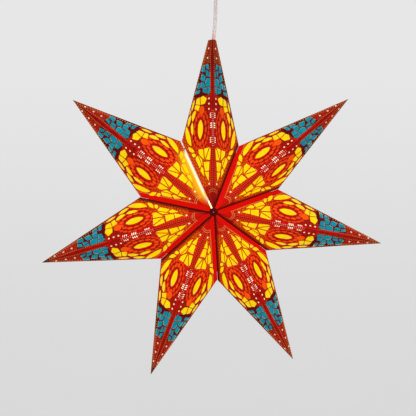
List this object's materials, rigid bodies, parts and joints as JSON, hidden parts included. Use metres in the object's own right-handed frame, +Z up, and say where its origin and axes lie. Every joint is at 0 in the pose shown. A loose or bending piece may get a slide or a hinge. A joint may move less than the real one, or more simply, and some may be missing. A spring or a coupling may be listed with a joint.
{
  "type": "paper star lantern",
  "caption": "Hanging star lantern of folded, cut and coloured paper around a lamp, with a flat twin cord and a ceiling fitting.",
  "frame": {"origin": "middle of the ceiling fitting's flat top face", "axes": "+Z up out of the ceiling face, the star's front faces -Y, +X to the right seen from the front"},
  "size_m": [0.5942, 0.1922, 0.7218],
  "materials": {
    "printed_card": "matt printed paper",
    "amber_tissue": "translucent tissue",
    "turquoise_tissue": "translucent tissue",
    "string": "twisted string",
    "clear_cord": "clear soft plastic",
    "white_plastic": "moulded",
    "brass": "plain",
    "bulb_glass": "opal",
    "steel": "zinc plated"
  },
  "bodies": {
    "root": {"point_card_1": "printed_card", "point_card_2": "printed_card", "point_card_3": "printed_card", "point_card_4": "printed_card", "point_card_5": "printed_card", "point_card_6": "printed_card", "point_card_7": "printed_card", "amber_lining_1": "amber_tissue", "amber_lining_2": "amber_tissue", "amber_lining_3": "amber_tissue", "amber_lining_4": "amber_tissue", "amber_lining_5": "amber_tissue", "amber_lining_6": "amber_tissue", "amber_lining_7": "amber_tissue", "turquoise_lining_1": "turquoise_tissue", "turquoise_lining_2": "turquoise_tissue", "turquoise_lining_3": "turquoise_tissue", "turquoise_lining_4": "turquoise_tissue", "turquoise_lining_5": "turquoise_tissue", "turquoise_lining_6": "turquoise_tissue", "turquoise_lining_7": "turquoise_tissue", "front_tie": "string", "back_tie": "string", "notch_tie": "string", "cord": "clear_cord", "cord_stop": "white_plastic", "holder_cord_grip": "white_plastic", "lampholder_cap": "white_plastic", "lampholder_skirt": "white_plastic", "shade_ring": "white_plastic", "contact_block": "white_plastic", "centre_contact": "brass", "contact_sleeve": "brass", "terminal_screws": "brass", "bulb": "bulb_glass", "ceiling_cup": "white_plastic", "ceiling_cord_grip": "white_plastic", "ceiling_bracket": "steel", "cup_screws": "steel", "terminal_block": "white_plastic"}
  },
  "joints": []
}
